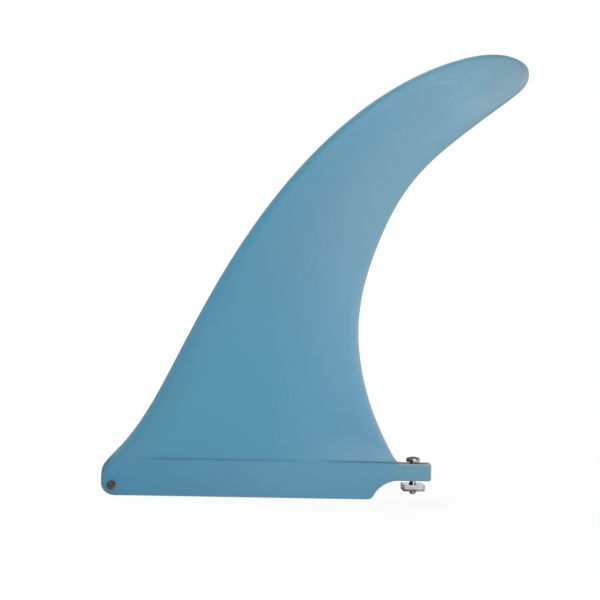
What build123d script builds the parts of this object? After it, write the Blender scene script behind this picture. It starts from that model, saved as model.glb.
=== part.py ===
from build123d import *
import os
from math import cos, radians, sin, sqrt

# A raked single surfboard fin for a long fin box: the moulded fin with its base tab, the cross pin
# through the tab's front, and the screw with its square plate nut through the tab's rear.
# Millimetres. +X runs to the back of the board, +Z to the fin's tip, and Y is across the thickness.
# The origin is the centre of the cross pin, in the fin's mid plane.

# Base tab
tab_thickness = 9.4
root_height = 15.8
foot_depth = 6.2
tab_front = 6.8
front_corner_radius = 6.9
front_corner_sweep = 80
nose_depth = 5.5
nose_depth_at_root = 7.5
nose_end = 16.0
edge_chamfer = 0.55
nose_rim_set_back = 0.95

# The tab's front edge in the mid plane above its lower corner, as (X, Z)
front_edge_points = [
    (-6.75, 5.5),
    (-6.3, 9.0),
    (-5.0, 11.8),
    (-2.25, 15.25),
]

# Rear tongue of the tab, which the screw goes through
tongue_end = 187.55
tongue_top = 15.1
tongue_underside = 5.0
tongue_slope_start = 159.0
tongue_slope_end = 171.0
tongue_end_radius = 2.5
tongue_corner_radius = 1.4
cove_radius = 17.0
cove_end = 168.7
cove_lip_radius = 4.0

# Blade
root_half_thickness = 4.64
foot_half_thickness = 4.5
span_taper = 0.58
tip_start = 0.80
trailing_half_thickness = 0.8
trailing_edge_rounding = 0.6
tail_share_at_tip = 0.45
tail_onset = 0.3

# The open blade's section, in shares of its chord and of its greatest half thickness
open_nose = 0.07
open_nose_growth = 0.11
open_nose_share = 0.90
open_crest = 0.42
open_tail_power = 1.7

# The blade's section at the root, which is full width but for a shallow ledge and a tapered tail
root_station = 0.0155
root_blend = 0.07
root_nose = 0.045
ledge_share = 0.09
ledge_start = 0.10
ledge_full = 0.21
ledge_end = 0.71
root_tail_start = 0.72
root_tail_power = 1.8

# The blade's outline in its mid plane, from the buried foot to the tip, as (X, Z)
leading_edge_points = [
    (-4.8, 11.5),
    (-1.8, 15.8),
    (4.9, 22.9),
    (15.7, 37.2),
    (28.2, 58.7),
    (42.6, 87.3),
    (57.7, 115.9),
    (79.3, 151.7),
    (106.7, 187.5),
    (144.2, 223.6),
    (179.75, 245.4),
    (204.3, 254.5),
    (222.0, 256.7),
    (236.0, 253.4),
    (240.4, 249.3),
]
trailing_edge_points = [
    (171.2, 11.5),
    (167.7, 15.8),
    (166.1, 17.7),
    (162.9, 23.3),
    (159.15, 30.3),
    (148.5, 58.4),
    (143.4, 93.8),
    (145.3, 113.5),
    (154.0, 143.5),
    (167.8, 172.1),
    (178.6, 186.4),
    (193.3, 200.9),
    (220.6, 222.6),
    (235.6, 234.6),
    (239.8, 239.4),
    (241.3, 244.2),
    (240.4, 249.3),
]

# Where the blade's sections stand along the span, and where their points stand along the chord
span_stations = [0, 0.0155, 0.035, 0.075, 0.15, 0.26, 0.38, 0.5, 0.62, 0.74, 0.84, 0.91, 0.955, 0.985, 1]
chord_fractions = [0, 0.006, 0.022, 0.052, 0.1, 0.165, 0.25, 0.36, 0.49, 0.63, 0.77, 0.9, 0.97, 1]

# Cross pin
pin_diameter = 4.76
pin_length = 15.9
pin_chamfer = 0.35

# Fixing screw, number 8 by three quarters of an inch, with a pan head and a cross recess
screw_x = 176.9
screw_diameter = 4.17
screw_length = 19.05
screw_point_chamfer = 0.8
head_diameter = 8.2
head_height = 2.9
head_rim = 1.5
head_underside = 16.05
recess_width = 4.2
recess_slot = 0.9
recess_depth = 1.5

# Square plate nut
plate_side = 12.7
plate_thickness = 3.8
plate_underside = -0.8
plate_corner_radius = 1.0
plate_edge_chamfer = 0.35
plate_turn = 4.0


def mid_plane_point(x, z):
    return Vector(x, 0, z)


def mid_plane_spline(points, tangents=None):
    """A smooth curve in the fin's mid plane through the given (X, Z) points."""
    return Spline(*[mid_plane_point(x, z) for x, z in points], tangents=tangents)


def smooth_step(value):
    """0 below 0, 1 above 1, and an S-shaped rise between them."""
    value = min(max(value, 0.0), 1.0)
    return value * value * (3 - 2 * value)


def open_foil(fraction, nose):
    """Half thickness of the open blade's section, as a share of its crest, along the chord."""
    if fraction < nose:
        return open_nose_share * sqrt(1 - (1 - fraction / nose) ** 2)
    if fraction < open_crest:
        return 1 - (1 - open_nose_share) * ((open_crest - fraction) / (open_crest - nose)) ** 2
    return 1 - ((fraction - open_crest) / (1 - open_crest)) ** open_tail_power


def root_foil(fraction):
    """The same at the root: flush with the tab at the front, a shallow ledge behind, then the taper."""
    if fraction < root_nose:
        return sqrt(1 - (1 - fraction / root_nose) ** 2)
    ledge_rise = smooth_step((fraction - ledge_start) / (ledge_full - ledge_start))
    ledge_fade = smooth_step((fraction - ledge_full) / (ledge_end - ledge_full))
    ledge = ledge_share * ledge_rise * (1 - ledge_fade)
    taper = max(0.0, (fraction - root_tail_start) / (1 - root_tail_start)) ** root_tail_power
    return (1 - ledge) * (1 - taper)


def blade_station(leading_edge, trailing_edge, station):
    """Points of one half section, from the nose to the trailing edge, at a share of the span."""
    front = leading_edge.position_at(station)
    chord = trailing_edge.position_at(station) - front
    tip_round = sqrt(1 - max(0.0, (station - tip_start) / (1 - tip_start)) ** 2)
    foot_inset = (root_half_thickness - foot_half_thickness) * max(0.0, 1 - station / root_station)
    crest = (root_half_thickness - foot_inset) * (1 - span_taper * station) * tip_round
    tail = min(trailing_half_thickness, tail_share_at_tip * crest)
    root_share = 1 - smooth_step((station - root_station) / root_blend)
    points = []
    for fraction in chord_fractions:
        open_shape = open_foil(fraction, open_nose + open_nose_growth * station)
        shape = root_share * root_foil(fraction) + (1 - root_share) * open_shape
        half = crest * shape + tail * min(1.0, fraction / tail_onset) * (1 - shape)
        if fraction == 1:
            half = trailing_edge_rounding * tail
        points.append(front + chord * fraction - Vector(0, half, 0))
    return points


def rim_edge(skin, is_rim):
    """The one edge of a skin whose middle stretch meets the given test."""
    return [edge for edge in skin.edges() if all(is_rim(edge.position_at(s)) for s in (0.3, 0.5, 0.7))][0]


def blade():
    """The foiled blade: two skins over fanned sections, a narrow trailing edge and a buried foot."""
    leading_edge = mid_plane_spline(leading_edge_points)
    trailing_edge = mid_plane_spline(trailing_edge_points)
    rows = [blade_station(leading_edge, trailing_edge, station) for station in span_stations]
    near_skin = Face.make_surface_from_array_of_points(rows, tol=0.01, min_deg=3, max_deg=5)
    far_skin = near_skin.mirror(Plane.XZ)
    foot_z = leading_edge_points[0][1]
    tails = [rim_edge(skin, lambda p: abs(p.Y) > 0.01 and p.Z > foot_z + 1) for skin in (near_skin, far_skin)]
    feet = [rim_edge(skin, lambda p: abs(p.Z - foot_z) < 0.01) for skin in (near_skin, far_skin)]
    trailing_band = Face.make_surface_from_curves(*tails)
    foot_tail = rows[0][-1]
    closing = Edge.make_line(foot_tail, Vector(foot_tail.X, -foot_tail.Y, foot_tail.Z))
    foot_cap = Face(Wire([*feet, closing]))
    return Solid(Shell([near_skin, far_skin, trailing_band, foot_cap]))


def nose_section(x, z, depth, inset=0.0):
    """A level section of the tab's front: a half-elliptical nose on parallel cheeks."""
    half = tab_thickness / 2 - inset
    side = [
        Vector(x + depth * (1 - cos(radians(angle))), -half * sin(radians(angle)), z)
        for angle in (90, 70, 50, 35, 20, 10)
    ]
    other_side = [Vector(p.X, -p.Y, p.Z) for p in reversed(side)]
    nose = Edge.make_spline(
        [*side, mid_plane_point(x, z), *other_side], tangents=[Vector(-1, 0, 0), Vector(1, 0, 0)]
    )
    back_left = Vector(nose_end, half, z)
    back_right = Vector(nose_end, -half, z)
    return Wire(
        [
            nose,
            Edge.make_line(other_side[-1], back_left),
            Edge.make_line(back_left, back_right),
            Edge.make_line(back_right, side[0]),
        ]
    )


def lower_edge_cutter(side):
    """A prism that chamfers the lower edge of one cheek, along the tab's front block."""
    inner_y = side * (tab_thickness / 2 - 2 * edge_chamfer)
    outer_y = side * (tab_thickness / 2 + edge_chamfer)
    low_z = -foot_depth - edge_chamfer
    high_z = -foot_depth + 2 * edge_chamfer
    triangle = Wire.make_polygon(
        [(nose_end, inner_y, low_z), (nose_end, outer_y, low_z), (nose_end, outer_y, high_z)], close=True
    )
    return Solid.extrude(Face(triangle), Vector(-nose_end - 2 * tab_front, 0, 0))


def tab_nose():
    """The tab's front block, rounded in plan, with its lower corner swept up into the blade's flare."""
    corner_x = front_corner_radius - tab_front
    corner_z = front_corner_radius * sin(radians(front_corner_sweep)) - foot_depth
    sections = []
    for share in (1, 0.85, 0.7, 0.55, 0.4, 0.25, 0.1):
        angle = radians(front_corner_sweep * share)
        x = corner_x - front_corner_radius * cos(angle)
        z = corner_z - front_corner_radius * sin(angle)
        sections.append(nose_section(x, z, nose_depth))
    front_edge = mid_plane_spline(
        [(-tab_front, corner_z), *front_edge_points], tangents=[Vector(0, 0, 1), Vector(0.69, 0, 0.72)]
    )
    for share in (0, 0.2, 0.4, 0.6, 0.8, 1):
        point = front_edge.position_at(share)
        depth = nose_depth + (nose_depth_at_root - nose_depth) * smooth_step(share)
        sections.append(nose_section(point.X, point.Z, depth))
    block = Solid.make_loft(sections).cut(lower_edge_cutter(1), lower_edge_cutter(-1))
    top_x = front_edge_points[-1][0]
    rim = nose_section(top_x, root_height - edge_chamfer, nose_depth_at_root)
    inner_rim = nose_section(
        top_x + nose_rim_set_back, root_height, nose_depth_at_root - nose_rim_set_back, inset=edge_chamfer
    )
    return block.fuse(Solid.make_loft([rim, inner_rim], ruled=True))


def tab_side_profile():
    """The tab behind its nose, seen from the side: deep box part, cove and thin rear tongue."""
    cove_z = tongue_underside - cove_radius
    lip_x = cove_end - sqrt(cove_radius**2 - (foot_depth + cove_z) ** 2)
    middle_x = (lip_x + cove_end) / 2
    cove_middle = mid_plane_point(middle_x, cove_z + sqrt(cove_radius**2 - (cove_end - middle_x) ** 2))
    lip = mid_plane_point(lip_x, -foot_depth)
    cove_top = mid_plane_point(cove_end, tongue_underside)
    slope_low = mid_plane_point(tongue_slope_end, tongue_top)
    slope_high = mid_plane_point(tongue_slope_start, root_height)
    low_front = mid_plane_point(nose_end, -foot_depth)
    high_front = mid_plane_point(nose_end, root_height)
    low_end = mid_plane_point(tongue_end, tongue_underside)
    high_end = mid_plane_point(tongue_end, tongue_top)
    return Face(
        Wire(
            [
                Edge.make_line(low_front, lip),
                Edge.make_three_point_arc(lip, cove_middle, cove_top),
                Edge.make_line(cove_top, low_end),
                Edge.make_line(low_end, high_end),
                Edge.make_line(high_end, slope_low),
                Edge.make_line(slope_low, slope_high),
                Edge.make_line(slope_high, high_front),
                Edge.make_line(high_front, low_front),
            ]
        )
    )


def tongue_corner_cutter(corner_z, upward):
    """A prism across the tongue that rounds one corner of its end, seen from the side."""
    radius = tongue_corner_radius
    arc_start = mid_plane_point(tongue_end - radius, corner_z)
    arc_end = mid_plane_point(tongue_end, corner_z - upward * radius)
    bulge = radius * sin(radians(45))
    arc_middle = mid_plane_point(tongue_end - radius + bulge, corner_z - upward * (radius - bulge))
    outer_low = mid_plane_point(tongue_end + radius, corner_z - upward * radius)
    outer_high = mid_plane_point(tongue_end + radius, corner_z + upward * radius)
    inner_high = mid_plane_point(tongue_end - radius, corner_z + upward * radius)
    rim = [
        Edge.make_three_point_arc(arc_start, arc_middle, arc_end),
        Edge.make_line(arc_end, outer_low),
        Edge.make_line(outer_low, outer_high),
        Edge.make_line(outer_high, inner_high),
        Edge.make_line(inner_high, arc_start),
    ]
    return extrude(Face(Wire(rim)), amount=tab_thickness, both=True).solids()[0]


def tab_body():
    """The tab behind its nose, with its rounded end, its cove lip and its broken edges."""
    body = extrude(tab_side_profile(), amount=tab_thickness / 2, both=True).solids()[0]
    end_edges = [edge for edge in body.edges().filter_by(Axis.Z) if edge.center().X > tongue_end - 0.01]
    body = body.fillet(tongue_end_radius, end_edges)
    lip_edges = [
        edge
        for edge in body.edges().filter_by(Axis.Y)
        if abs(edge.center().Z + foot_depth) < 0.01 and edge.center().X > nose_end + 1
    ]
    body = body.fillet(cove_lip_radius, lip_edges)
    cheek_edges = [
        edge
        for edge in body.edges()
        if abs(abs(edge.center().Y) - tab_thickness / 2) < 0.01 and edge.center().X > nose_end + 1
    ]
    body = body.chamfer(edge_chamfer, None, cheek_edges)
    return body.cut(tongue_corner_cutter(tongue_top, 1), tongue_corner_cutter(tongue_underside, -1))


def fin():
    """The moulded fin: blade and base tab in one piece, bored for the cross pin and the screw."""
    moulding = tab_nose().fuse(tab_body()).fuse(blade())
    pin_bore = Solid.make_cylinder(
        pin_diameter / 2, 2 * tab_thickness, Plane(origin=(0, tab_thickness, 0), z_dir=(0, -1, 0))
    )
    screw_hole = Solid.make_cylinder(
        screw_diameter / 2, 3 * tab_thickness, Plane(origin=(screw_x, 0, tongue_underside - tab_thickness))
    )
    return moulding.cut(pin_bore, screw_hole)


def cross_pin():
    """A plain round pin with chamfered ends, standing out of both cheeks to ride in the box's grooves."""
    pin = Solid.make_cylinder(
        pin_diameter / 2, pin_length, Plane(origin=(0, pin_length / 2, 0), z_dir=(0, -1, 0))
    )
    return pin.chamfer(pin_chamfer, None, pin.edges().filter_by(GeomType.CIRCLE))


def fixing_screw():
    """The screw, on the tongue's hole: chamfered point, plain shank and a pan head with a cross recess."""
    radius = screw_diameter / 2
    head_radius = head_diameter / 2
    point_z = head_underside - screw_length
    head_top = head_underside + head_height
    rim_top = head_underside + head_rim
    dome_rise = head_height - head_rim
    dome_radius = (head_radius**2 + dome_rise**2) / (2 * dome_rise)
    dome_middle_x = head_radius / 2
    dome_middle_z = head_top - dome_radius + sqrt(dome_radius**2 - dome_middle_x**2)
    outline = [
        Edge.make_line((0, 0, point_z), (radius - screw_point_chamfer, 0, point_z)),
        Edge.make_line((radius - screw_point_chamfer, 0, point_z), (radius, 0, point_z + screw_point_chamfer)),
        Edge.make_line((radius, 0, point_z + screw_point_chamfer), (radius, 0, head_underside)),
        Edge.make_line((radius, 0, head_underside), (head_radius, 0, head_underside)),
        Edge.make_line((head_radius, 0, head_underside), (head_radius, 0, rim_top)),
        Edge.make_three_point_arc(
            (head_radius, 0, rim_top), (dome_middle_x, 0, dome_middle_z), (0, 0, head_top)
        ),
        Edge.make_line((0, 0, head_top), (0, 0, point_z)),
    ]
    screw = Solid.revolve(Face(Wire(outline)), 360, Axis.Z)
    wing = Box(recess_width, recess_slot, 2 * recess_depth)
    recess = wing.fuse(Box(recess_slot, recess_width, 2 * recess_depth))
    screw = screw.cut(recess.moved(Location((0, 0, head_top))))
    return screw.moved(Location((screw_x, 0, 0)))


def plate_nut():
    """The square plate that the screw is threaded into, under the tongue and turned a little on the screw."""
    low_corner = (-plate_side / 2, -plate_side / 2, plate_underside)
    plate = Solid.make_box(plate_side, plate_side, plate_thickness, Plane(origin=low_corner))
    plate = plate.fillet(plate_corner_radius, plate.edges().filter_by(Axis.Z))
    flats = [face for face in plate.faces() if abs(face.normal_at().Z) > 0.5]
    plate = plate.chamfer(plate_edge_chamfer, None, [edge for face in flats for edge in face.edges()])
    thread = Solid.make_cylinder(
        screw_diameter / 2, 2 * plate_thickness, Plane(origin=(0, 0, plate_underside - plate_thickness / 2))
    )
    return plate.cut(thread).moved(Location((screw_x, 0, 0), (0, 0, plate_turn)))


if __name__ == "__main__":
    os.makedirs("parts", exist_ok=True)
    for make_piece in (fin, cross_pin, fixing_screw, plate_nut):
        export_step(make_piece(), f"parts/{make_piece.__name__}.step")
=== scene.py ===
import bmesh
import bpy
import math
from mathutils import Euler, Matrix, Vector


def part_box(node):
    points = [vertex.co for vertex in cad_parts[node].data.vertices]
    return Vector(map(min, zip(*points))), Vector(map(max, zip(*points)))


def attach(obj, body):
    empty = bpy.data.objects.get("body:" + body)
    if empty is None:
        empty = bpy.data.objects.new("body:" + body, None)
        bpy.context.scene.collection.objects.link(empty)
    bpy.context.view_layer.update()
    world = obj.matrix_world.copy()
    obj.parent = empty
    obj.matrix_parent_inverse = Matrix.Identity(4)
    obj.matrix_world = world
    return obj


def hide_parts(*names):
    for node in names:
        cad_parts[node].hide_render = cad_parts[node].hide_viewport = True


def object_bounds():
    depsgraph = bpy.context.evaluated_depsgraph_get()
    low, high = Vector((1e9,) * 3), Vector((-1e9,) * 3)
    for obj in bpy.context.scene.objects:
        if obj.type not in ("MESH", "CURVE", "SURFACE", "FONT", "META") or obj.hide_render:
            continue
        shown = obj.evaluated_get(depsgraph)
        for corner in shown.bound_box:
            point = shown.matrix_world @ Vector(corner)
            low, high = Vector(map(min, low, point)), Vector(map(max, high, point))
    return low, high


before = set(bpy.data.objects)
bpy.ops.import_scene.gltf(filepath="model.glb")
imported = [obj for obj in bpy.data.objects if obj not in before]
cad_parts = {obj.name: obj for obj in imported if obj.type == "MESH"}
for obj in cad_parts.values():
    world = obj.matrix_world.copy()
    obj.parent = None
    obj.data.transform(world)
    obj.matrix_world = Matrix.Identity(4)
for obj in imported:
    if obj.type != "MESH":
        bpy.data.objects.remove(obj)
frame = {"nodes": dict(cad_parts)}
cadBox = [list(corner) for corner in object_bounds()]
print("frame loaded:", ", ".join(frame["nodes"]))

scene = bpy.context.scene
scene.view_settings.view_transform = "Standard"


# Camera: square to the fin's side, a little below and ahead of its middle, and rolled by a degree
cameraView = {
    "place": (0.10867, -0.8, 0.11008),
    "rollDegrees": 0.993,
    "widthAtFin": 0.35373,
    "sensor": 36.0,
    "clip": (0.01, 50),
}


def addCamera():
    data = bpy.data.cameras.new("photoCamera")
    data.sensor_width = cameraView["sensor"]
    data.lens = cameraView["sensor"] * -cameraView["place"][1] / cameraView["widthAtFin"]
    data.clip_start, data.clip_end = cameraView["clip"]
    camera = bpy.data.objects.new("photoCamera", data)
    scene.collection.objects.link(camera)
    roll = math.radians(cameraView["rollDegrees"])
    right = Vector((math.cos(roll), 0, math.sin(roll)))
    up = Vector((-math.sin(roll), 0, math.cos(roll)))
    turn = Matrix((right, up, (0, -1, 0))).transposed()
    camera.matrix_world = Matrix.Translation(cameraView["place"]) @ turn.to_4x4()
    scene.camera = camera


addCamera()


# Short helpers for shader trees
def addNode(tree, kind, x, y, **settings):
    made = tree.nodes.new(kind)
    made.location = (x, y)
    for name, value in settings.items():
        setattr(made, name, value)
    return made


def feed(tree, socket, value):
    if hasattr(value, "links"):
        tree.links.new(value, socket)
    elif value is not None:
        socket.default_value = value


def setInputs(tree, made, **values):
    for name, value in values.items():
        feed(tree, made.inputs[name.replace("_", " ")], value)


def mathNode(tree, operation, x, y, first, second=None, third=None):
    made = addNode(tree, "ShaderNodeMath", x, y, operation=operation)
    for socket, value in zip(made.inputs, (first, second, third)):
        feed(tree, socket, value)
    return made.outputs[0]


def product(tree, x, y, first, second):
    return mathNode(tree, "MULTIPLY", x, y, first, second)


def vectorNode(tree, operation, x, y, first, second=None):
    made = addNode(tree, "ShaderNodeVectorMath", x, y, operation=operation)
    for socket, value in zip(made.inputs, (first, second)):
        feed(tree, socket, value)
    return made.outputs[0]


def mixColors(tree, x, y, factor, first, second):
    made = addNode(tree, "ShaderNodeMix", x, y, data_type="RGBA")
    for index, value in ((0, factor), (6, first), (7, second)):
        feed(tree, made.inputs[index], value)
    return made.outputs[2]


def ramp(tree, x, y, value, fromLow, fromHigh, toLow=0.0, toHigh=1.0, kind="SMOOTHSTEP"):
    made = addNode(tree, "ShaderNodeMapRange", x, y, interpolation_type=kind)
    for socket, number in zip(made.inputs, (value, fromLow, fromHigh, toLow, toHigh)):
        feed(tree, socket, number)
    return made.outputs[0]


def splitVector(tree, x, y, vector):
    made = addNode(tree, "ShaderNodeSeparateXYZ", x, y)
    tree.links.new(vector, made.inputs[0])
    return made.outputs


def joinVector(tree, x, y, first, second, third):
    made = addNode(tree, "ShaderNodeCombineXYZ", x, y)
    for socket, value in zip(made.inputs, (first, second, third)):
        feed(tree, socket, value)
    return made.outputs[0]


def surfacePlace(tree, x, y, kind="Object"):
    return addNode(tree, "ShaderNodeTexCoord", x, y).outputs[kind]


def noiseValue(tree, x, y, vector, scale, detail=2.0, roughness=0.5):
    made = addNode(tree, "ShaderNodeTexNoise", x, y)
    setInputs(tree, made, Vector=vector, Scale=scale, Detail=detail, Roughness=roughness)
    return made.outputs[0]


def bumpNormal(tree, x, y, height, distance, under=None):
    made = addNode(tree, "ShaderNodeBump", x, y)
    setInputs(tree, made, Strength=1.0, Distance=distance, Height=height, Normal=under)
    return made.outputs[0]


def newGroup(name, inputs, outputs):
    group = bpy.data.node_groups.new(name, "ShaderNodeTree")
    for label, kind, value in inputs:
        socket = group.interface.new_socket(name=label, in_out="INPUT", socket_type="NodeSocket" + kind)
        socket.default_value = value
    for label, kind in outputs:
        group.interface.new_socket(name=label, in_out="OUTPUT", socket_type="NodeSocket" + kind)
    entry = addNode(group, "NodeGroupInput", -1200, 0)
    result = addNode(group, "NodeGroupOutput", 900, 0)
    return group, entry.outputs, result.inputs


def placeGroup(tree, group, x, y, **values):
    made = addNode(tree, "ShaderNodeGroup", x, y, node_tree=group)
    setInputs(tree, made, **values)
    return made.outputs


def newMaterial(name):
    material = bpy.data.materials.new(name)
    material.use_nodes = True
    tree = material.node_tree
    shader = tree.nodes["Principled BSDF"]
    shader.location = (900, 0)
    tree.nodes["Material Output"].location = (1200, 0)
    return material, tree, shader


# Slow drift of tone over a surface, between two tints
def makeToneDrift():
    group, entry, result = newGroup(
        "toneDrift",
        [
            ("Tint A", "Color", (0.5, 0.5, 0.5, 1)),
            ("Tint B", "Color", (0.6, 0.6, 0.6, 1)),
            ("Patches per Metre", "Float", 20.0),
        ],
        [("Color", "Color"), ("Mask", "Float")],
    )
    place = surfacePlace(group, -1000, -300)
    noise = noiseValue(group, -600, 0, place, entry["Patches per Metre"], detail=2.0, roughness=0.45)
    mask = ramp(group, -300, 0, noise, fromLow=0.32, fromHigh=0.68)
    color = mixColors(group, 200, 100, mask, entry["Tint A"], entry["Tint B"])
    group.links.new(color, result["Color"])
    group.links.new(mask, result["Mask"])
    return group


# Long fine lines along one direction, as brushing or sanding leaves them
def makeFineLines():
    group, entry, result = newGroup(
        "fineLines",
        [
            ("Turn", "Vector", (0, 0, 0)),
            ("Lines per Metre", "Float", 4000.0),
            ("Length Ratio", "Float", 30.0),
        ],
        [("Mask", "Float")],
    )
    place = surfacePlace(group, -1000, -300)
    turned = addNode(group, "ShaderNodeVectorRotate", -800, -200, rotation_type="EULER_XYZ")
    setInputs(group, turned, Vector=place, Rotation=entry["Turn"])
    across = entry["Lines per Metre"]
    along = mathNode(group, "DIVIDE", -800, 100, across, entry["Length Ratio"])
    sizes = joinVector(group, -600, 100, along, across, across)
    stretched = vectorNode(group, "MULTIPLY", -400, 0, turned.outputs[0], sizes)
    noise = noiseValue(group, -200, 0, stretched, 1.0, detail=3.0, roughness=0.6)
    group.links.new(ramp(group, 100, 0, noise, fromLow=0.3, fromHigh=0.7), result["Mask"])
    return group


# Rings round an axis, as a lathe tool leaves them
def makeTurningRings():
    group, entry, result = newGroup(
        "turningRings",
        [
            ("Centre", "Vector", (0, 0, 0)),
            ("Turn", "Vector", (0, 0, 0)),
            ("Rings per Metre", "Float", 6000.0),
        ],
        [("Mask", "Float")],
    )
    place = surfacePlace(group, -1000, -300)
    centred = vectorNode(group, "SUBTRACT", -800, -200, place, entry["Centre"])
    turned = addNode(group, "ShaderNodeVectorRotate", -600, -200, rotation_type="EULER_XYZ")
    setInputs(group, turned, Vector=centred, Rotation=entry["Turn"])
    parts = splitVector(group, -400, -200, turned.outputs[0])
    square = product(group, -200, -300, parts[1], parts[1])
    squares = mathNode(group, "MULTIPLY_ADD", -200, -100, parts[0], parts[0], square)
    radius = mathNode(group, "SQRT", 0, -100, squares)
    ringPlace = joinVector(group, 200, -100, radius, parts[2], 0.0)
    noise = noiseValue(group, 400, 0, ringPlace, entry["Rings per Metre"], detail=2.0, roughness=0.6)
    group.links.new(ramp(group, 600, 0, noise, fromLow=0.3, fromHigh=0.7), result["Mask"])
    return group


# Sparse small dots: pits, dust and tarnish spots
def makeSpecks():
    group, entry, result = newGroup(
        "specks",
        [("Specks per Metre", "Float", 300.0), ("Size", "Float", 0.12), ("Share", "Float", 0.3)],
        [("Mask", "Float")],
    )
    place = surfacePlace(group, -1000, -300)
    cells = addNode(group, "ShaderNodeTexVoronoi", -600, 0)
    setInputs(group, cells, Vector=place, Scale=entry["Specks per Metre"])
    inner = product(group, -600, -300, entry["Size"], 0.5)
    dot = ramp(group, -300, 0, cells.outputs["Distance"], entry["Size"], inner)
    chance = splitVector(group, -400, -400, cells.outputs["Color"])[0]
    chosen = mathNode(group, "LESS_THAN", -200, -300, chance, entry["Share"])
    group.links.new(product(group, 200, 0, dot, chosen), result["Mask"])
    return group


toneDrift = makeToneDrift()
fineLines = makeFineLines()
turningRings = makeTurningRings()
specks = makeSpecks()
print("shader groups built")


# The fin's blue laminate: a satin skin, greyer where the tab's edges were cut, with the layers of cloth
# showing as faint contour lines where the foil was ground through them. A pair of values is where a
# region starts and where it is full: metres along X, up Z or off the mid plane, or a part of the normal
laminateLook = {
    "bladeTint": (0.0515, 0.2254, 0.351, 1),
    "tipTint": (0.059, 0.2146, 0.311, 1),
    "tipHeights": (0.10, 0.25),
    "trailingLightTint": (0.079, 0.219, 0.310, 1),
    "trailingAcross": (-0.075, -0.03),
    "trailingHeights": (0.05, 0.20),
    "tipEndShadeTint": (0.078, 0.197, 0.268, 1),
    "tipEndAlong": (0.195, 0.238),
    "tabFrontShadeTint": (0.042, 0.196, 0.315, 1),
    "tabRearLightTint": (0.070, 0.236, 0.356, 1),
    "tabAlong": (0.0, 0.10),
    "tabHeights": (0.0200, 0.0162),
    "tongueLightTint": (0.087, 0.250, 0.330, 1),
    "tongueAlong": (0.150, 0.182),
    "lowLeadingShadeTint": (0.060, 0.203, 0.298, 1),
    "leadingSlope": -0.6,
    "leadingAcross": (0.020, -0.012),
    "leadingHeights": (0.12, 0.05),
    "leadingBase": (0.004, 0.016),
    "paleTint": (0.105, 0.275, 0.395, 1),
    "patchShare": 0.07,
    "patchesPerMetre": 14.0,
    "layerTint": (0.15, 0.33, 0.42, 1),
    "layerShare": 0.36,
    "layerLow": 0.13,
    "layerThickness": 0.00015,
    "layerWarp": 3.5,
    "warpsPerMetre": 35.0,
    "groundFacing": (0.99998, 0.9995),
    "layerSide": (0.0, 0.03),
    "streakPatch": (0.2000, 0.0, 0.2385),
    "streakRadii": (0.023, 0.010),
    "breaksPerMetre": 60.0,
    "breakContrast": (0.40, 0.56),
    "footShare": 0.20,
    "footHeights": (0.050, 0.020),
    "footAlong": (0.115, 0.150),
    "footBase": (0.0158, 0.0165),
    "thinLightTint": (0.250, 0.262, 0.315, 1),
    "thinShare": 0.65,
    "thinHalf": (0.0010, 0.0004),
    "thinSide": (0.0, 0.05),
    "leadingEdgeHighlightTint": (0.088, 0.238, 0.316, 1),
    "topEdgeHighlightTint": (0.185, 0.400, 0.480, 1),
    "edgeTintHeights": (0.190, 0.252),
    "edgeShare": 0.90,
    "edgeFacing": (0.985, 0.75),
    "edgeSide": (0.02, -0.05),
    "topEdgeHeights": (0.236, 0.246),
    "edgeBase": (0.0155, 0.0175),
    "rimTint": (0.19, 0.205, 0.225, 1),
    "rimShare": 0.85,
    "rimHeights": (0.0163, 0.0159),
    "rimFacing": (0.96, 0.60),
    "chamferHighlightTint": (0.38, 0.37, 0.39, 1),
    "chamferFacing": (0.25, 0.5),
    "noseRimShadeTint": (0.045, 0.120, 0.160, 1),
    "noseRimShare": 0.65,
    "noseAlong": (0.0, 0.012),
    "endShare": 0.25,
    "endAlong": (0.1854, 0.1867),
    "topHeights": (0.0136, 0.0146),
    "topAlong": (0.166, 0.170),
    "ledgeHeights": (0.0148, 0.0152),
    "ledgeEnd": (0.1685, 0.1675),
    "shadeAndPitTint": (0.026, 0.150, 0.245, 1),
    "creaseShare": 0.60,
    "creaseHeight": 0.01605,
    "creaseHalfWidth": 0.0015,
    "creaseStart": (0.018, 0.026),
    "creaseEnd": (0.172, 0.166),
    "rootShadeMiddleShare": 0.25,
    "rootShadeMiddle": 0.117,
    "rootShadeMiddleReach": (0.004, 0.016),
    "pitShare": 0.12,
    "pitsPerMetre": 220.0,
    "pitSize": 0.10,
    "pitPortion": 0.25,
    "roughness": 0.36,
    "driftRoughness": 0.05,
    "sandingRoughness": 0.04,
    "rimRoughness": 0.15,
    "sandingTurn": (0, 0.9, 0),
    "sandingPerMetre": 1800.0,
    "sandingRatio": 25.0,
    "scratchHeight": 0.000002,
    "wavesPerMetre": 55.0,
    "waveHeight": 0.00005,
}


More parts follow.
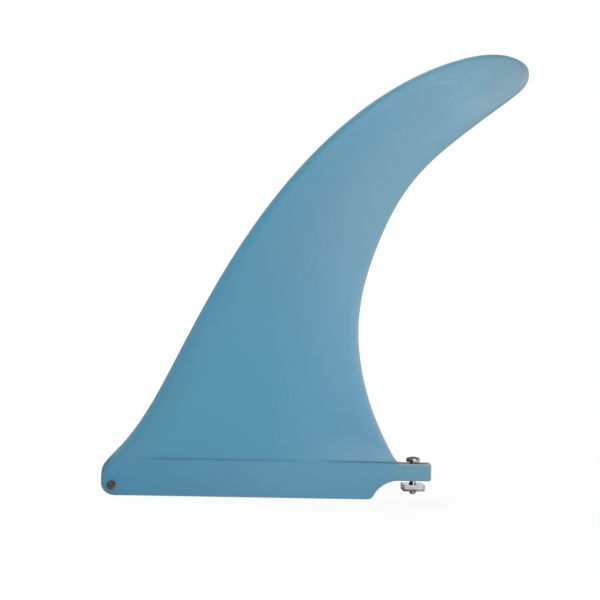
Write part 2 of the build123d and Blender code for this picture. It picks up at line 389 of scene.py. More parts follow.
def makeLaminate():
    look = laminateLook
    material, tree, shader = newMaterial("blueLaminate")
    place = addNode(tree, "ShaderNodeTexCoord", -2200, -400)
    spot = place.outputs["Object"]
    along, sideways, height = splitVector(tree, -2000, -200, spot)
    facing = splitVector(tree, -2000, -600, place.outputs["Normal"])
    halfThickness = mathNode(tree, "ABSOLUTE", -1800, -300, sideways)
    squareness = mathNode(tree, "ABSOLUTE", -1800, -600, facing[1])

    # Painted light and shade: the blue turns greyer towards the tip and darker at its end, paler on the
    # trailing half and on the tongue, and deeper on the tab's front
    towardsTip = ramp(tree, -2000, 600, height, *look["tipHeights"])
    color = mixColors(tree, -1800, 600, towardsTip, look["bladeTint"], look["tipTint"])
    across = mathNode(tree, "SUBTRACT", -2200, 900, along, height)
    trailing = ramp(tree, -2000, 900, across, *look["trailingAcross"])
    trailing = product(tree, -1800, 900, trailing, ramp(tree, -2000, 1200, height, *look["trailingHeights"]))
    color = mixColors(tree, -1600, 600, trailing, color, look["trailingLightTint"])
    tipEnd = ramp(tree, -2000, 1350, along, *look["tipEndAlong"])
    color = mixColors(tree, -1500, 600, tipEnd, color, look["tipEndShadeTint"])
    alongTab = ramp(tree, -2000, 1500, along, *look["tabAlong"], kind="LINEAR")
    tabColor = mixColors(tree, -1800, 1200, alongTab, look["tabFrontShadeTint"], look["tabRearLightTint"])
    onTongue = ramp(tree, -2000, 1800, along, *look["tongueAlong"])
    tabColor = mixColors(tree, -1600, 1200, onTongue, tabColor, look["tongueLightTint"])
    nearTab = ramp(tree, -1600, 900, height, *look["tabHeights"])
    color = mixColors(tree, -1400, 600, nearTab, color, tabColor)

    # Painted shade, a little greyer low along the leading edge; it also drifts in soft patches all over
    fromLeading = mathNode(tree, "MULTIPLY_ADD", -2200, 1650, height, look["leadingSlope"], along)
    leading = ramp(tree, -2000, 1650, fromLeading, *look["leadingAcross"])
    leading = product(tree, -1800, 1650, leading, ramp(tree, -2000, 1900, height, *look["leadingHeights"]))
    leading = product(tree, -1600, 1650, leading, ramp(tree, -2000, 2000, height, *look["leadingBase"]))
    color = mixColors(tree, -1300, 700, leading, color, look["lowLeadingShadeTint"])
    paler = mixColors(tree, -1200, 400, look["patchShare"], color, look["paleTint"])
    drift = placeGroup(
        tree, toneDrift, -1000, 500, Tint_A=color, Tint_B=paler, Patches_per_Metre=look["patchesPerMetre"]
    )

    # Contour lines of the laminate's layers, in broken patches and strongest near the tip
    warp = noiseValue(tree, -1800, 0, spot, look["warpsPerMetre"], detail=1.5)
    depth = mathNode(tree, "DIVIDE", -1600, -100, halfThickness, look["layerThickness"])
    phase = mathNode(tree, "MULTIPLY_ADD", -1400, -100, warp, look["layerWarp"], depth)
    wave = mathNode(tree, "SINE", -1200, -100, product(tree, -1300, -100, phase, math.tau))
    lines = ramp(tree, -1000, -100, wave, -1.0, 1.0)
    ground = ramp(tree, -1200, -400, squareness, *look["groundFacing"])
    fromPatch = addNode(tree, "ShaderNodeVectorMath", -1400, -250, operation="DISTANCE")
    feed(tree, fromPatch.inputs[0], spot)
    feed(tree, fromPatch.inputs[1], look["streakPatch"])
    lowShare = ramp(tree, -1600, -350, facing[0], *look["layerSide"], 0.0, look["layerLow"])
    nearTip = ramp(tree, -1200, -250, fromPatch.outputs["Value"], *look["streakRadii"], lowShare, 1.0)
    breaks = noiseValue(tree, -1400, -550, spot, look["breaksPerMetre"], detail=1.0)
    broken = ramp(tree, -1200, -550, breaks, *look["breakContrast"])
    patches = product(tree, -1000, -300, product(tree, -1000, -400, ground, nearTip), broken)
    layers = product(tree, -900, -100, lines, patches)
    layerMask = product(tree, -800, -100, layers, look["layerShare"])
    color = mixColors(tree, -400, 300, layerMask, drift["Color"], look["layerTint"])

    # Painted shade: the blade is a little darker just above its trailing foot
    foot = ramp(tree, -800, -300, height, *look["footHeights"])
    foot = product(tree, -700, -300, foot, ramp(tree, -800, -400, along, *look["footAlong"]))
    aboveRoot = ramp(tree, -800, -450, height, *look["footBase"], 0.0, look["footShare"])
    foot = product(tree, -600, -300, foot, aboveRoot)
    color = mixColors(tree, -300, 300, foot, color, look["shadeAndPitTint"])

    # Painted light through the laminate: its thin trailing edge is paler and greyer
    thin = ramp(tree, -800, -500, halfThickness, *look["thinHalf"], 0.0, look["thinShare"])
    thin = product(tree, -600, -500, thin, ramp(tree, -800, -550, facing[0], *look["thinSide"]))
    color = mixColors(tree, -200, 300, thin, color, look["thinLightTint"])

    # Painted highlight: its rounded leading edge is paler, and most so along the top of the tip
    towardsTop = ramp(tree, -600, 700, height, *look["edgeTintHeights"])
    edgeHighlightTint = mixColors(tree, -400, 700, towardsTop, look["leadingEdgeHighlightTint"], look["topEdgeHighlightTint"])
    grazing = ramp(tree, -800, -620, squareness, *look["edgeFacing"], 0.0, look["edgeShare"])
    leadingSide = ramp(tree, -800, -640, facing[0], *look["edgeSide"])
    alongTop = ramp(tree, -800, -680, height, *look["topEdgeHeights"])
    edgeSide = mathNode(tree, "MAXIMUM", -700, -640, leadingSide, alongTop)
    grazing = product(tree, -600, -620, grazing, edgeSide)
    grazing = product(tree, -500, -620, grazing, ramp(tree, -800, -660, height, *look["edgeBase"]))
    color = mixColors(tree, -100, 300, grazing, color, edgeHighlightTint)

    # Cut edges of the tab are greyer, but not the ledge under the blade. The lighter grey on the chamfers
    # and in faint bands at the tongue's end and top is a painted highlight, and the dark teal at the nose
    # painted shade
    onTab = ramp(tree, -800, -900, height, *look["rimHeights"])
    cut = ramp(tree, -800, -700, squareness, *look["rimFacing"])
    offEnd = ramp(tree, -1000, -700, along, *look["endAlong"], 0.0, look["endShare"])
    offTop = ramp(tree, -1000, -850, height, *look["topHeights"], 0.0, look["endShare"])
    offTop = product(tree, -900, -850, offTop, ramp(tree, -1000, -950, along, *look["topAlong"]))
    cut = mathNode(tree, "MAXIMUM", -700, -800, cut, mathNode(tree, "MAXIMUM", -800, -800, offEnd, offTop))
    rim = product(tree, -600, -700, cut, onTab)
    onLedge = ramp(tree, -1000, -1000, height, *look["ledgeHeights"])
    ledge = product(tree, -800, -1000, onLedge, ramp(tree, -1000, -1100, along, *look["ledgeEnd"]))
    rim = product(tree, -500, -800, rim, mathNode(tree, "SUBTRACT", -600, -900, 1.0, ledge))
    offNose = ramp(tree, -800, -1050, along, *look["noseAlong"])
    rimAlong = ramp(tree, -600, -1000, offNose, 0.0, 1.0, look["noseRimShare"], look["rimShare"])
    onChamfer = ramp(tree, -800, -650, squareness, *look["chamferFacing"])
    rimColor = mixColors(tree, -600, -600, onChamfer, look["rimTint"], look["chamferHighlightTint"])
    rimColor = mixColors(tree, -450, -600, offNose, look["noseRimShadeTint"], rimColor)
    rimMask = product(tree, -400, -700, rim, rimAlong)
    color = mixColors(tree, 0, 300, rimMask, color, rimColor)

    # Painted shade in a thin line along the blade's root, weaker over a stretch behind its middle
    offRoot = mathNode(tree, "SUBTRACT", -800, -1100, height, look["creaseHeight"])
    offRoot = mathNode(tree, "ABSOLUTE", -600, -1100, offRoot)
    crease = ramp(tree, -400, -1100, offRoot, look["creaseHalfWidth"], 0.0)
    offRootShadeMiddle = mathNode(tree, "SUBTRACT", -800, -1500, along, look["rootShadeMiddle"])
    offRootShadeMiddle = mathNode(tree, "ABSOLUTE", -600, -1500, offRootShadeMiddle)
    rootShadeStrength = ramp(tree, -400, -1500, offRootShadeMiddle, *look["rootShadeMiddleReach"], look["rootShadeMiddleShare"], 1.0)
    behindNose = ramp(tree, -1000, -1300, along, *look["creaseStart"])
    crease = product(tree, -200, -1100, crease, product(tree, -300, -1300, behindNose, rootShadeStrength))
    crease = product(tree, -100, -1100, crease, ramp(tree, -400, -1700, along, *look["creaseEnd"]))
    creaseMask = product(tree, 0, -1100, crease, look["creaseShare"])
    color = mixColors(tree, 200, 300, creaseMask, color, look["shadeAndPitTint"])

    pits = placeGroup(
        tree, specks, 0, -100,
        Specks_per_Metre=look["pitsPerMetre"], Size=look["pitSize"], Share=look["pitPortion"],
    )
    pitMask = product(tree, 200, -100, pits["Mask"], look["pitShare"])
    color = mixColors(tree, 400, 300, pitMask, color, look["shadeAndPitTint"])
    tree.links.new(color, shader.inputs["Base Color"])

    sanding = placeGroup(
        tree, fineLines, 0, -500,
        Turn=look["sandingTurn"], Lines_per_Metre=look["sandingPerMetre"], Length_Ratio=look["sandingRatio"],
    )
    gloss = look["roughness"]
    gloss = mathNode(tree, "MULTIPLY_ADD", 300, -300, drift["Mask"], look["driftRoughness"], gloss)
    gloss = mathNode(tree, "MULTIPLY_ADD", 500, -300, sanding["Mask"], look["sandingRoughness"], gloss)
    gloss = mathNode(tree, "MULTIPLY_ADD", 650, -300, rim, look["rimRoughness"], gloss)
    tree.links.new(gloss, shader.inputs["Roughness"])

    hills = noiseValue(tree, 0, -1400, spot, look["wavesPerMetre"], detail=1.0)
    normal = bumpNormal(tree, 300, -1400, hills, look["waveHeight"])
    normal = bumpNormal(tree, 500, -1400, sanding["Mask"], look["scratchHeight"], under=normal)
    tree.links.new(normal, shader.inputs["Normal"])
    return material


def dress(thing, material):
    thing.data.materials.clear()
    thing.data.materials.append(material)


dress(frame["nodes"]["fin"], makeLaminate())
print("fin dressed")


# Shared steps of the small metal pieces
def onCircle(radius, angle, height):
    return Vector((radius * math.cos(angle), radius * math.sin(angle), height))


def latheRings(form, profile, sides, place):
    # Skins a profile of (radius, height) pairs round the local Z axis
    previous = None
    for radius, height in profile:
        if radius < 1e-7:
            ring = [form.verts.new(place @ Vector((0, 0, height)))] * sides
        else:
            turns = [math.tau * side / sides for side in range(sides)]
            ring = [form.verts.new(place @ onCircle(radius, turn, height)) for turn in turns]
        if previous:
            for side in range(sides):
                after = (side + 1) % sides
                corners = [previous[side], previous[after], ring[after], ring[side]]
                form.faces.new(list(dict.fromkeys(corners)))
        previous = ring


def finishPiece(name, form, node, material, sharpDegrees=35):
    bmesh.ops.remove_doubles(form, verts=form.verts, dist=1e-8)
    bmesh.ops.recalc_face_normals(form, faces=form.faces)
    mesh = bpy.data.meshes.new(name)
    form.to_mesh(mesh)
    form.free()
    mesh.shade_smooth()
    mesh.set_sharp_from_angle(angle=math.radians(sharpDegrees))
    piece = bpy.data.objects.new(name, mesh)
    scene.collection.objects.link(piece)
    mesh.materials.append(material)
    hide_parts(node)
    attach(piece, "root")
    return piece


def quarterRound(radius, height, size, steps):
    # Points of a rounded corner at a rim, from the flat face outwards and up the wall
    points = []
    for step in range(steps + 1):
        angle = math.pi / 2 * step / steps
        rise = size * (1 - math.cos(angle))
        points.append((radius - size + size * math.sin(angle), height + rise))
    return points


# Turned cross pin of tarnished brass
pinDesign = {
    "sides": 64,
    "edgeRound": 0.00032,
    "roundSteps": 5,
    "ringCount": 11,
    "ringDepth": 0.000012,
    "centreRadius": 0.00030,
    "centreDepth": 0.00022,
    "centreFloor": (0.4, 0.8),
    "brass": (0.135, 0.088, 0.058, 1),
    "tarnish": (0.075, 0.050, 0.036, 1),
    "tarnishPerMetre": 700.0,
    "spots": (0.05, 0.045, 0.035, 1),
    "spotShare": 0.6,
    "spotsPerMetre": 2500.0,
    "spotSize": 0.35,
    "spotPortion": 0.4,
    "toolRingsPerMetre": 9000.0,
    "toolRingHeight": 0.000006,
    "roughness": 0.42,
    "ringRoughness": 0.12,
}


def pinProfile(radius, half):
    # Half of the profile is one end, from the centre drill's floor over the tool rings to the rounded rim
    design = pinDesign
    centre = design["centreRadius"]
    floorRadius, floorDepth = design["centreFloor"]
    end = [(0, design["centreDepth"]), (centre * floorRadius, design["centreDepth"] * floorDepth)]
    end.append((centre, 0.0))
    flat = radius - design["edgeRound"] - centre
    for ring in range(1, 2 * design["ringCount"]):
        end.append((centre + flat * ring / (2 * design["ringCount"]), design["ringDepth"] * (ring % 2)))
    end += quarterRound(radius, 0.0, design["edgeRound"], design["roundSteps"])
    return [(r, d - half) for r, d in end] + [(r, half - d) for r, d in reversed(end)]


def makeTarnishedBrass():
    design = pinDesign
    material, tree, shader = newMaterial("tarnishedBrass")
    setInputs(tree, shader, Metallic=1.0)
    drift = placeGroup(
        tree, toneDrift, -600, 200,
        Tint_A=design["brass"], Tint_B=design["tarnish"], Patches_per_Metre=design["tarnishPerMetre"],
    )
    spots = placeGroup(
        tree, specks, -600, -200,
        Specks_per_Metre=design["spotsPerMetre"], Size=design["spotSize"], Share=design["spotPortion"],
    )
    rings = placeGroup(
        tree, turningRings, -600, -500,
        Turn=(math.pi / 2, 0, 0), Rings_per_Metre=design["toolRingsPerMetre"],
    )
    spotMask = product(tree, -300, -200, spots["Mask"], design["spotShare"])
    color = mixColors(tree, 0, 200, spotMask, drift["Color"], design["spots"])
    tree.links.new(color, shader.inputs["Base Color"])
    gloss = design["roughness"]
    gloss = mathNode(tree, "MULTIPLY_ADD", 0, -200, rings["Mask"], design["ringRoughness"], gloss)
    tree.links.new(gloss, shader.inputs["Roughness"])
    normal = bumpNormal(tree, 300, -500, rings["Mask"], design["toolRingHeight"])
    tree.links.new(normal, shader.inputs["Normal"])
    return material


def makePin():
    low, high = [Vector(corner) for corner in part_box("cross_pin")]
    form = bmesh.new()
    profile = pinProfile((high.x - low.x) / 2, (high.y - low.y) / 2)
    place = Matrix.Translation((low + high) / 2) @ Matrix.Rotation(math.pi / 2, 4, "X")
    latheRings(form, profile, pinDesign["sides"], place)
    finishPiece("crossPin", form, "cross_pin", makeTarnishedBrass())


makePin()
print("cross pin built")


# Pan head screw with a real helical thread and a tapered cross recess. A pair of heights is measured up
# from the place that its name gives, and a pair of offsets along X from the screw's middle
screwDesign = {
    "length": 0.01905,
    "crestRadius": 0.002085,
    "sides": 72,
    "pitch": 0.000794,
    "threadDepth": 0.00048,
    "threadRise": (0.20, 0.50),
    "rowsPerTurn": 14,
    "neckRadius": 0.00180,
    "runOut": 0.0009,
    "pointRadius": 0.00128,
    "pointLength": 0.0008,
    "headHeight": 0.0029,
    "headInner": 0.7,
    "rimRound": 0.00018,
    "rimSteps": 3,
    "crownRadius": 0.0090,
    "crownShares": (1.0, 0.92, 0.8, 0.66, 0.5, 0.34, 0.17, 0.0),
    "shoulderRound": 0.00055,
    "shoulderAngles": (0, 15, 30, 45, 60, 75),
    "recessTurn": 24.0,
    "recessArm": 0.0021,
    "recessFloorArm": 0.0009,
    "recessWidth": 0.00090,
    "recessDepth": 0.0018,
    "recessTip": 0.0003,
    "recessAbove": 0.0006,
    "recessFlare": (1.12, 1.1),
    "recessFloorShare": 0.8,
    "bright": (0.44, 0.44, 0.46, 1),
    "dull": (0.33, 0.33, 0.36, 1),
    "driftPerMetre": 500.0,
    "darkTint": (0.06, 0.06, 0.07, 1),
    "spotShare": 0.5,
    "spotsPerMetre": 1800.0,
    "spotSize": 0.25,
    "spotPortion": 0.3,
    "crown": (0.80, 0.80, 0.82, 1),
    "crownFacing": (0.55, 0.85),
    "crownAboveUnderside": (0.0010, 0.0012),
    "thread": (0.58, 0.58, 0.61, 1),
    "threadAboveUnderside": (0.0001, -0.0002),
    "sideShade": (0.018, 0.019, 0.024, 1),
    "sideShadeShare": 0.92,
    "sideShadeAboveUnderside": (0.0024, 0.0007),
    "sideShadeAbovePoint": (0.0035, 0.0045),
    "sideShadeOffset": (0.0003, -0.0006),
    "roughness": 0.20,
    "ringRoughness": 0.10,
    "toolRingsPerMetre": 7000.0,
    "toolRingHeight": 0.000003,
}


def threadShare(share):
    # Height of the thread over one pitch, from root 0 to crest 1, with flats at both
    rise = min(share, 1 - share) * 2
    start, length = screwDesign["threadRise"]
    return min(max((rise - start) / length, 0.0), 1.0)


def addThread(form, place, low, high):
    shape = screwDesign
    crest = shape["crestRadius"]
    sides = shape["sides"]
    rows = shape["rowsPerTurn"]
    turns = (high - low) / shape["pitch"]
    rowCount = math.ceil(rows * (turns + 1))
    columns = []
    for side in range(sides):
        angle = math.tau * side / sides
        column = []
        for row in range(rowCount + rows + 1):
            z = low + (row / rows + side / sides - 1) * shape["pitch"]
            z = min(max(z, low), high)
            radius = crest - shape["threadDepth"] * (1 - threadShare((row % rows) / rows))
            cone = shape["pointRadius"] + (crest - shape["pointRadius"]) * (z - low) / shape["pointLength"]
            radius = min(radius, cone)
            runOut = min((high - z) / shape["runOut"], 1.0)
            radius = shape["neckRadius"] + (radius - shape["neckRadius"]) * runOut
            column.append(form.verts.new(place @ onCircle(radius, angle, z)))
        columns.append(column)
    for side in range(sides):
        after = columns[(side + 1) % sides]
        shift = rows if side + 1 == sides else 0
        for row in range(rowCount):
            form.faces.new(
                [columns[side][row], after[row + shift], after[row + shift + 1], columns[side][row + 1]]
            )
    spare = [v for column in columns for v in column if not v.link_faces]
    bmesh.ops.delete(form, geom=spare, context="VERTS")


def crossOutline(arm, halfWidth):
    quarter = [(arm, -halfWidth), (arm, halfWidth), (halfWidth, halfWidth)]
    points = []
    for turn in range(4):
        c, s = math.cos(turn * math.pi / 2), math.sin(turn * math.pi / 2)
        points += [(c * x - s * y, s * x + c * y) for x, y in quarter]
    return points


def makeRecessCutter(place, top):
    shape = screwDesign
    width = shape["recessWidth"] / 2
    floor = top - shape["recessDepth"]
    armFlare, widthFlare = shape["recessFlare"]
    levels = [
        (top + shape["recessAbove"], shape["recessArm"] * armFlare, width * widthFlare),
        (floor, shape["recessFloorArm"], width * shape["recessFloorShare"]),
    ]
    form = bmesh.new()
    loops = []
    for z, arm, halfWidth in levels:
        loops.append([form.verts.new(place @ Vector((x, y, z))) for x, y in crossOutline(arm, halfWidth)])
    count = len(loops[0])
    for i in range(count):
        j = (i + 1) % count
        form.faces.new([loops[0][i], loops[0][j], loops[1][j], loops[1][i]])
    form.faces.new(loops[0])
    tip = form.verts.new(place @ Vector((0, 0, floor - shape["recessTip"])))
    for i in range(count):
        form.faces.new([loops[1][i], loops[1][(i + 1) % count], tip])
    bmesh.ops.recalc_face_normals(form, faces=form.faces)
    mesh = bpy.data.meshes.new("recessCutter")
    form.to_mesh(mesh)
    form.free()
    cutter = bpy.data.objects.new("recessCutter", mesh)
    scene.collection.objects.link(cutter)
    return cutter


def cutAway(piece, cutter):
    cut = piece.modifiers.new("recess", "BOOLEAN")
    cut.operation = "DIFFERENCE"
    cut.solver = "EXACT"
    cut.object = cutter
    depsgraph = bpy.context.evaluated_depsgraph_get()
    result = bpy.data.meshes.new_from_object(piece.evaluated_get(depsgraph))
    piece.modifiers.clear()
    old = piece.data
    piece.data = result
    bpy.data.meshes.remove(old)
    spent = cutter.data
    bpy.data.objects.remove(cutter)
    bpy.data.meshes.remove(spent)


def headProfile(headRadius, underside):
    # From the neck over the flat underside and the rim, round the shoulder and in over the domed crown
    shape = screwDesign
    profile = [(shape["neckRadius"], underside), (headRadius * shape["headInner"], underside)]
    profile += quarterRound(headRadius, underside, shape["rimRound"], shape["rimSteps"])
    crownCentre = underside + shape["headHeight"] - shape["crownRadius"]
    shoulder = headRadius - shape["shoulderRound"]
    shoulderZ = crownCentre + math.sqrt(shape["crownRadius"] ** 2 - shoulder**2)
    for angle in shape["shoulderAngles"]:
        turn = math.radians(angle)
        inward = shape["shoulderRound"] * (1 - math.cos(turn))
        profile.append((headRadius - inward, shoulderZ - shape["shoulderRound"] * (1 - math.sin(turn))))
    for share in shape["crownShares"]:
        radius = shoulder * share
        profile.append((radius, crownCentre + math.sqrt(shape["crownRadius"] ** 2 - radius**2)))
    return profile


def makeTurnedSteel(centre, pointZ, underside):
    look = screwDesign
    material, tree, shader = newMaterial("turnedSteel")
    setInputs(tree, shader, Metallic=1.0)
    drift = placeGroup(
        tree, toneDrift, -600, 200,
        Tint_A=look["bright"], Tint_B=look["dull"], Patches_per_Metre=look["driftPerMetre"],
    )
    rings = placeGroup(
        tree, turningRings, -600, -300, Centre=tuple(centre), Rings_per_Metre=look["toolRingsPerMetre"]
    )
    spots = placeGroup(
        tree, specks, -600, -600,
        Specks_per_Metre=look["spotsPerMetre"], Size=look["spotSize"], Share=look["spotPortion"],
    )
    spotMask = product(tree, -300, -500, spots["Mask"], look["spotShare"])
    color = mixColors(tree, 0, 200, spotMask, drift["Color"], look["darkTint"])
    across, _, height = splitVector(tree, -800, 500, surfacePlace(tree, -1000, 500))

    # Painted highlight: the crown, where it faces up, and the whole thread below the head get a paler steel
    upward = splitVector(tree, -800, 1300, surfacePlace(tree, -1000, 1300, "Normal"))[2]
    start, full = [underside + rise for rise in look["crownAboveUnderside"]]
    onTop = ramp(tree, -600, 1200, height, start, full)
    onCrown = product(tree, -400, 1300, ramp(tree, -600, 1300, upward, *look["crownFacing"]), onTop)
    color = mixColors(tree, 50, 400, onCrown, color, look["crown"])
    start, full = [underside + rise for rise in look["threadAboveUnderside"]]
    color = mixColors(tree, 100, 400, ramp(tree, -600, 1100, height, start, full), color, look["thread"])

    # Painted shade on the blade's side, from the thread inside the plate up over the head's lower half
    start, full = [underside + rise for rise in look["sideShadeAboveUnderside"]]
    sideShade = ramp(tree, -600, 500, height, start, full, 0.0, look["sideShadeShare"])
    start, full = [centre.x + offset for offset in look["sideShadeOffset"]]
    sideShade = product(tree, -400, 500, sideShade, ramp(tree, -600, 700, across, start, full))
    start, full = [pointZ + rise for rise in look["sideShadeAbovePoint"]]
    sideShade = product(tree, -200, 500, sideShade, ramp(tree, -600, 900, height, start, full))
    color = mixColors(tree, 200, 400, sideShade, color, look["sideShade"])
    tree.links.new(color, shader.inputs["Base Color"])

    gloss = mathNode(tree, "MULTIPLY_ADD", 0, -200, rings["Mask"], look["ringRoughness"], look["roughness"])
    tree.links.new(gloss, shader.inputs["Roughness"])
    normal = bumpNormal(tree, 300, -300, rings["Mask"], look["toolRingHeight"])
    tree.links.new(normal, shader.inputs["Normal"])
    return material


def makeScrew():
    shape = screwDesign
    low, high = [Vector(corner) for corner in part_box("fixing_screw")]
    centre = (low + high) / 2
    place = Matrix.Translation((centre.x, centre.y, 0))
    underside = low.z + shape["length"]
    form = bmesh.new()
    addThread(form, place, low.z, underside)
    point = [(0, low.z), (shape["pointRadius"] * 0.5, low.z), (shape["pointRadius"], low.z)]
    latheRings(form, point, shape["sides"], place)
    latheRings(form, headProfile((high.x - low.x) / 2, underside), shape["sides"], place)
    material = makeTurnedSteel(centre, low.z, underside)
    piece = finishPiece("fixingScrew", form, "fixing_screw", material)
    turn = Matrix.Rotation(math.radians(shape["recessTurn"]), 4, "Z")
    cutAway(piece, makeRecessCutter(place @ turn, underside + shape["headHeight"]))


makeScrew()
print("fixing screw built")


# Square plate nut with rounded corners, broken edges and a countersunk threaded hole. A pair of heights
# is measured up from its underside, and a pair of offsets along X from its middle
plateDesign = {
    "side": 0.0127,
    "turnDegrees": 4.0,
    "cornerRadius": 0.0010,
    "edgeRound": 0.00038,
    "roundSteps": 4,
    "cornerSteps": 12,
    "sideSteps": 12,
    "holdingLoop": 0.0001,
    "holeRadius": 0.00212,
    "countersink": 0.00035,
    "bright": (0.42, 0.395, 0.41, 1),
    "dull": (0.35, 0.33, 0.34, 1),
    "driftPerMetre": 260.0,
    "darkTint": (0.10, 0.10, 0.105, 1),
    "spotShare": 0.4,
    "spotsPerMetre": 900.0,
    "spotSize": 0.22,
    "spotPortion": 0.25,
    "lowShadeShare": 0.95,
    "lowShadeHeights": (0.0019, 0.0008),
    "lowShadeOffset": (0.0030, 0.0012),
    "lowShadeFar": 0.45,
    "flatFaceReflection": (0.74, 0.72, 0.74, 1),
    "flatFacing": (0.80, 0.95),
    "brushed": 0.44,
    "polished": 0.14,
    "brushRoughness": 0.14,
    "brushLinesPerMetre": 1600.0,
    "brushRatio": 60.0,
    "brushHeight": 0.000004,
}


def plateOutline(inset):
    shape = plateDesign
    half = shape["side"] / 2 - shape["cornerRadius"]
    radius = shape["cornerRadius"] - inset
    reach = shape["side"] / 2 - inset
    points = []
    for quarter in range(4):
        turn = Matrix.Rotation(quarter * math.pi / 2, 2)
        for step in range(shape["sideSteps"]):
            points.append(turn @ Vector((reach, -half + 2 * half * step / shape["sideSteps"])))
        for step in range(shape["cornerSteps"]):
            angle = math.pi / 2 * step / shape["cornerSteps"]
            corner = Vector((half + radius * math.cos(angle), half + radius * math.sin(angle)))
            points.append(turn @ corner)
    return points


def plateLevels(lowZ, highZ):
    # Insets and heights up the plate's side. A loop inside each flat face and next to each round keeps
    # the shading flat
    size = plateDesign["edgeRound"]
    steps = plateDesign["roundSteps"]
    margin = plateDesign["holdingLoop"]
    angles = [math.pi / 2 * step / steps for step in range(steps + 1)]
    rounds = [(size * (1 - math.sin(angle)), size * (1 - math.cos(angle))) for angle in angles]
    lower = [(size + margin, lowZ)] + [(inset, lowZ + rise) for inset, rise in rounds]
    lower.append((0, lower[-1][1] + margin))
    upper = [(0, highZ - size - margin)] + [(inset, highZ - rise) for inset, rise in reversed(rounds)]
    return lower + upper + [(size + margin, highZ)]


def makeBrushedSteel(centre, lowZ):
    look = plateDesign
    material, tree, shader = newMaterial("brushedSteel")
    setInputs(tree, shader, Metallic=1.0)
    drift = placeGroup(
        tree, toneDrift, -600, 200,
        Tint_A=look["bright"], Tint_B=look["dull"], Patches_per_Metre=look["driftPerMetre"],
    )
    brushing = placeGroup(
        tree, fineLines, -600, -300,
        Turn=(0, 0, -math.radians(look["turnDegrees"])),
        Lines_per_Metre=look["brushLinesPerMetre"], Length_Ratio=look["brushRatio"],
    )
    spots = placeGroup(
        tree, specks, -600, -600,
        Specks_per_Metre=look["spotsPerMetre"], Size=look["spotSize"], Share=look["spotPortion"],
    )
    spotMask = product(tree, -300, -500, spots["Mask"], look["spotShare"])
    color = mixColors(tree, 0, 200, spotMask, drift["Color"], look["darkTint"])

    # Painted shade along the lower edge, and less of it towards the rear
    across, _, height = splitVector(tree, -800, 500, surfacePlace(tree, -1000, 500))
    start, full = [lowZ + rise for rise in look["lowShadeHeights"]]
    lowEdgeShade = ramp(tree, -600, 500, height, start, full, 0.0, look["lowShadeShare"])
    start, full = [centre.x + offset for offset in look["lowShadeOffset"]]
    nearBlade = ramp(tree, -600, 700, across, start, full, look["lowShadeFar"], 1.0)
    lowEdgeShade = product(tree, -400, 500, lowEdgeShade, nearBlade)
    color = mixColors(tree, 200, 400, lowEdgeShade, color, look["darkTint"])

    # Painted reflection: the flat faces are a paler steel. They are polished, and the walls and rounds are
    # brushed
    normalZ = splitVector(tree, -800, -800, surfacePlace(tree, -1000, -800, "Normal"))[2]
    upright = mathNode(tree, "ABSOLUTE", -600, -800, normalZ)
    start, full = look["flatFacing"]
    rough = ramp(tree, -400, -800, upright, full, start, look["polished"], look["brushed"])
    color = mixColors(tree, 400, 400, ramp(tree, -400, 900, upright, start, full), color, look["flatFaceReflection"])
    tree.links.new(color, shader.inputs["Base Color"])
    gloss = mathNode(tree, "MULTIPLY_ADD", 0, -200, brushing["Mask"], look["brushRoughness"], rough)
    tree.links.new(gloss, shader.inputs["Roughness"])
    normal = bumpNormal(tree, 300, -300, brushing["Mask"], look["brushHeight"])
    tree.links.new(normal, shader.inputs["Normal"])
    return material


def makePlate():
    shape = plateDesign
    low, high = [Vector(corner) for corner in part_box("plate_nut")]
    centre = (low + high) / 2
    turn = Matrix.Rotation(math.radians(shape["turnDegrees"]), 4, "Z")
    place = Matrix.Translation((centre.x, centre.y, 0)) @ turn
    levels = plateLevels(low.z, high.z)
    loops = [[Vector((p.x, p.y, z)) for p in plateOutline(inset)] for inset, z in levels]
    radius = shape["holeRadius"]
    depth = shape["countersink"]
    hole = [(radius + depth, high.z), (radius, high.z - depth)]
    hole += [(radius, low.z + depth), (radius + depth, low.z)]
    rays = [p.normalized() for p in plateOutline(0)]
    loops += [[Vector((ray.x * reach, ray.y * reach, z)) for ray in rays] for reach, z in hole]
    form = bmesh.new()
    rings = [[form.verts.new(place @ point) for point in loop] for loop in loops]
    count = len(rays)
    for first, second in zip(rings, rings[1:] + rings[:1]):
        for i in range(count):
            j = (i + 1) % count
            form.faces.new([first[i], first[j], second[j], second[i]])
    finishPiece("plateNut", form, "plate_nut", makeBrushedSteel(centre, low.z))


makePlate()
print("plate nut built")


# Studio: five soft lamps, two of which reflections show, round an object in an even pale surround. Each
# lamp is given by its degrees round from the front and up, and its power
studio = {
    "centre": (0.12, 0.0, 0.12),
    "ambient": 0.15,
    "boxDistance": 1.2,
    "boxSize": 0.5,
    "boxes": {
        "highSoftbox": (0.0, 30.0, 5.0),
        "lowSoftbox": (25.0, 5.0, 6.5),
        "fillSoftbox": (-75.0, 40.0, 3.4),
        "rimSoftbox": (-108.0, 40.0, 6.0),
        "backSoftbox": (205.0, 35.0, 7.5),
    },
    "mirrored": ("highSoftbox", "lowSoftbox"),
}


def addSoftbox(name, azimuth, height, power):
    data = bpy.data.lights.new(name, "AREA")
    data.shape = "SQUARE"
    data.size = studio["boxSize"]
    data.energy = power
    lamp = bpy.data.objects.new(name, data)
    scene.collection.objects.link(lamp)
    a, e = math.radians(azimuth), math.radians(height)
    outward = Vector((math.sin(a) * math.cos(e), -math.cos(a) * math.cos(e), math.sin(e)))
    lamp.location = Vector(studio["centre"]) + outward * studio["boxDistance"]
    lamp.rotation_euler = outward.to_track_quat("Z", "Y").to_euler()
    lamp.visible_glossy = name in studio["mirrored"]


for boxName, (boxAzimuth, boxHeight, boxPower) in studio["boxes"].items():
    addSoftbox(boxName, boxAzimuth, boxHeight, boxPower)


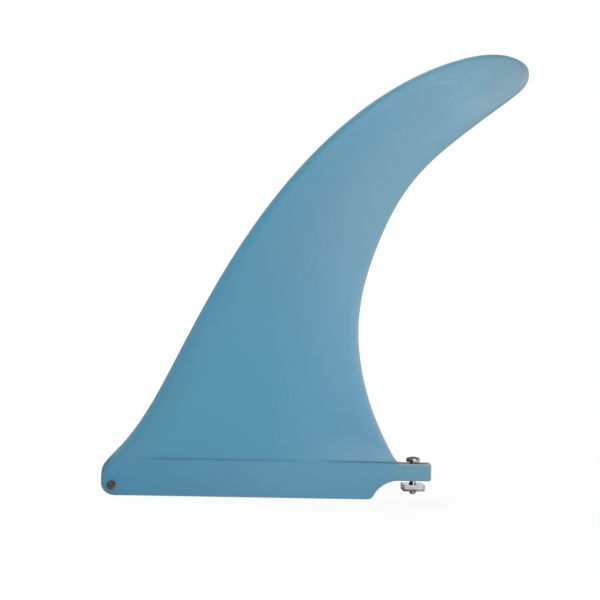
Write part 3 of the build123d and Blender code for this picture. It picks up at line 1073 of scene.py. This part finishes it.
def seenDirectly(tree, x, y):
    rays = addNode(tree, "ShaderNodeLightPath", x, y).outputs
    seen = mathNode(tree, "MAXIMUM", x + 200, y, rays["Is Camera Ray"], rays["Is Glossy Ray"])
    return mathNode(tree, "MAXIMUM", x + 400, y, seen, rays["Is Transmission Ray"])


def addSurround():
    world = bpy.data.worlds.new("studioSurround")
    world.use_nodes = True
    scene.world = world
    tree = world.node_tree
    background = tree.nodes["Background"]
    background.inputs["Color"].default_value = (1, 1, 1, 1)
    seen = seenDirectly(tree, -800, 100)
    strength = ramp(tree, -200, 0, seen, 0.0, 1.0, studio["ambient"], 1.0, kind="LINEAR")
    tree.links.new(strength, background.inputs["Strength"])


addSurround()


# Dark flags that only reflections see, round the object but for its front right, and a small card below
# the plate nut: place, turn and size
flags = {
    "glow": 0.15,
    "plates": {
        "leftFlag": ((-1.30, -0.2, 0.85), (0, 90, 0), (1.9, 3.0)),
        "frontFlag": ((-0.72, -1.70, 0.85), (90, 0, 0), (2.35, 1.9)),
        "rightFlag": ((1.60, -0.35, 0.85), (0, 90, 0), (1.9, 2.7)),
        "backFlag": ((0.10, 1.20, 1.10), (90, 0, 0), (2.8, 1.7)),
        "lowBackFlag": ((-0.62, 1.25, 0.20), (90, 0, 0), (1.4, 0.7)),
        "topFlag": ((0.10, 0.0, 1.60), (0, 0, 0), (2.8, 2.4)),
        "underCard": ((0.177, 0.0, -0.0050), (0, 0, 0), (0.05, 0.05)),
    },
}


def addFlags():
    material, tree, shader = newMaterial("darkFlag")
    setInputs(tree, shader, Base_Color=(0, 0, 0, 1), Roughness=1.0, Emission_Color=(1, 1, 1, 1))
    setInputs(tree, shader, Specular_IOR_Level=0.0, Emission_Strength=flags["glow"])
    for name, (place, turnDegrees, size) in flags["plates"].items():
        mesh = bpy.data.meshes.new(name)
        form = bmesh.new()
        bmesh.ops.create_grid(form, x_segments=2, y_segments=2, size=0.5)
        bmesh.ops.scale(form, vec=(size[0], size[1], 1), verts=form.verts)
        form.to_mesh(mesh)
        form.free()
        flag = bpy.data.objects.new(name, mesh)
        flag.location = place
        flag.rotation_euler = Euler([math.radians(turn) for turn in turnDegrees])
        flag.visible_camera = False
        flag.visible_diffuse = False
        flag.visible_shadow = False
        scene.collection.objects.link(flag)
        mesh.materials.append(material)


addFlags()


# Pale floor just below the tab, which the camera sees as near white, and as plain white farther off
floorLook = {
    "side": 6.0,
    "gap": 0.0002,
    "color": (0.82, 0.82, 0.82, 1),
    "whiteNear": 0.93,
    "whiteFar": 1.0,
    "nearRadius": 0.12,
    "farRadius": 0.45,
}


def addFloor():
    mesh = bpy.data.meshes.new("studioFloor")
    form = bmesh.new()
    bmesh.ops.create_grid(form, x_segments=4, y_segments=4, size=floorLook["side"] / 2)
    form.to_mesh(mesh)
    form.free()
    floor = bpy.data.objects.new("studioFloor", mesh)
    floor.location = (studio["centre"][0], 0, cadBox[0][2] - floorLook["gap"])
    scene.collection.objects.link(floor)
    material, tree, shader = newMaterial("paleFloor")
    setInputs(tree, shader, Base_Color=floorLook["color"], Roughness=0.9)
    place = surfacePlace(tree, -600, 600)
    away = addNode(tree, "ShaderNodeVectorMath", -400, 600, operation="LENGTH")
    tree.links.new(place, away.inputs[0])
    white = ramp(
        tree, -200, 600, away.outputs["Value"], floorLook["nearRadius"], floorLook["farRadius"],
        floorLook["whiteNear"], floorLook["whiteFar"],
    )
    share = mathNode(tree, "MULTIPLY", 300, 400, seenDirectly(tree, -400, 300), white)
    glow = addNode(tree, "ShaderNodeEmission", 900, 250)
    blend = addNode(tree, "ShaderNodeMixShader", 1200, 150)
    for index, value in enumerate((share, shader.outputs[0], glow.outputs[0])):
        tree.links.new(value, blend.inputs[index])
    output = tree.nodes["Material Output"]
    output.location = (1400, 100)
    tree.links.new(blend.outputs[0], output.inputs["Surface"])
    mesh.materials.append(material)


addFloor()
print("studio built")
